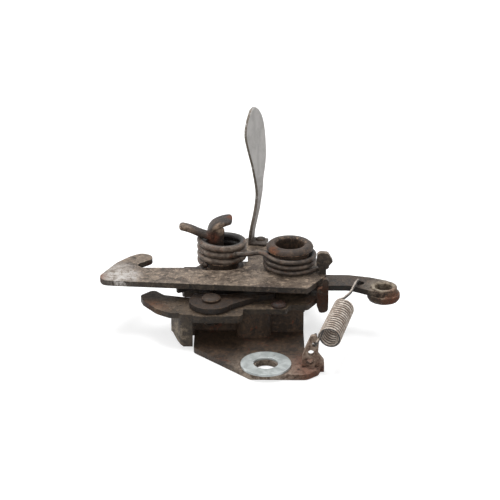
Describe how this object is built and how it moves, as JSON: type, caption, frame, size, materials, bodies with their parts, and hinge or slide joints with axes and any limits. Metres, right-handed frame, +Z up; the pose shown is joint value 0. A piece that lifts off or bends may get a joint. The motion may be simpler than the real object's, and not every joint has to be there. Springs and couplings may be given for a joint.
{
  "type": "car hood lock",
  "caption": "Bonnet lock on a hat-shaped bracket, with a sprung catch and pawl, a long safety hook with release paddle, a cable eye and a return spring.",
  "frame": {"origin": "centre of the front bolt hole, on the plane that the feet stand on", "axes": "+Z up from the feet, -X towards the hook's tip, +X towards the cable eye, -Y the front side with the front foot"},
  "size_m": [0.1567, 0.1226, 0.1078],
  "materials": {
    "rusty_sheet": "rusty sheet steel",
    "dark_lever": "dark greasy steel",
    "rusty_pin": "rusty steel",
    "spring_wire": "brown spring wire",
    "bright_spring": "worn spring wire",
    "zinc_washer": "zinc plated",
    "zinc_paddle": "dull zinc"
  },
  "bodies": {
    "frame": {"mounting_bracket": "rusty_sheet", "latch_plate": "rusty_sheet", "plate_rivets": "rusty_pin", "bolt_washer": "zinc_washer", "pivot_bush": "rusty_pin", "thrust_washer": "rusty_pin", "pawl_rivet": "rusty_pin", "pawl_spring": "spring_wire"},
    "pawl": {"pawl": "dark_lever"},
    "catch": {"catch_plate": "dark_lever", "catch_hub": "dark_lever", "catch_shaft": "rusty_pin", "catch_fork": "dark_lever", "catch_spring": "spring_wire"},
    "hook": {"safety_hook": "rusty_sheet", "spring_arm": "rusty_sheet", "cable_eye": "rusty_pin", "hook_spring": "spring_wire", "return_spring": "bright_spring", "release_paddle": "zinc_paddle", "paddle_rivet": "rusty_pin"}
  },
  "joints": [
    {"name": "hook_swing", "type": "hinge", "parent": "frame", "child": "hook", "pos_m": [0.013, 0.0615, 0.027], "axis": [0, 0, 1], "range_deg": [0, 8], "stiffness_Nm_per_rad": 0.6, "springref_deg": -28.65, "deforming": ["return_spring", "hook_spring"]},
    {"name": "pawl_swing", "type": "hinge", "parent": "frame", "child": "pawl", "pos_m": [-0.028, 0.0345, 0.0215], "axis": [0, 0, 1], "range_deg": [-7, 0], "stiffness_Nm_per_rad": 0.15, "springref_deg": 17.19, "deforming": ["pawl_spring"]},
    {"name": "catch_swing", "type": "hinge", "parent": "frame", "child": "catch", "pos_m": [-0.023, 0.0725, 0.0215], "axis": [0, 0, 1], "range_deg": [-28, 0], "deforming": ["catch_spring"]}
  ],
  "couplings": [
    {"joint": "catch_swing", "follows": "pawl_swing", "ratio": 4}
  ]
}
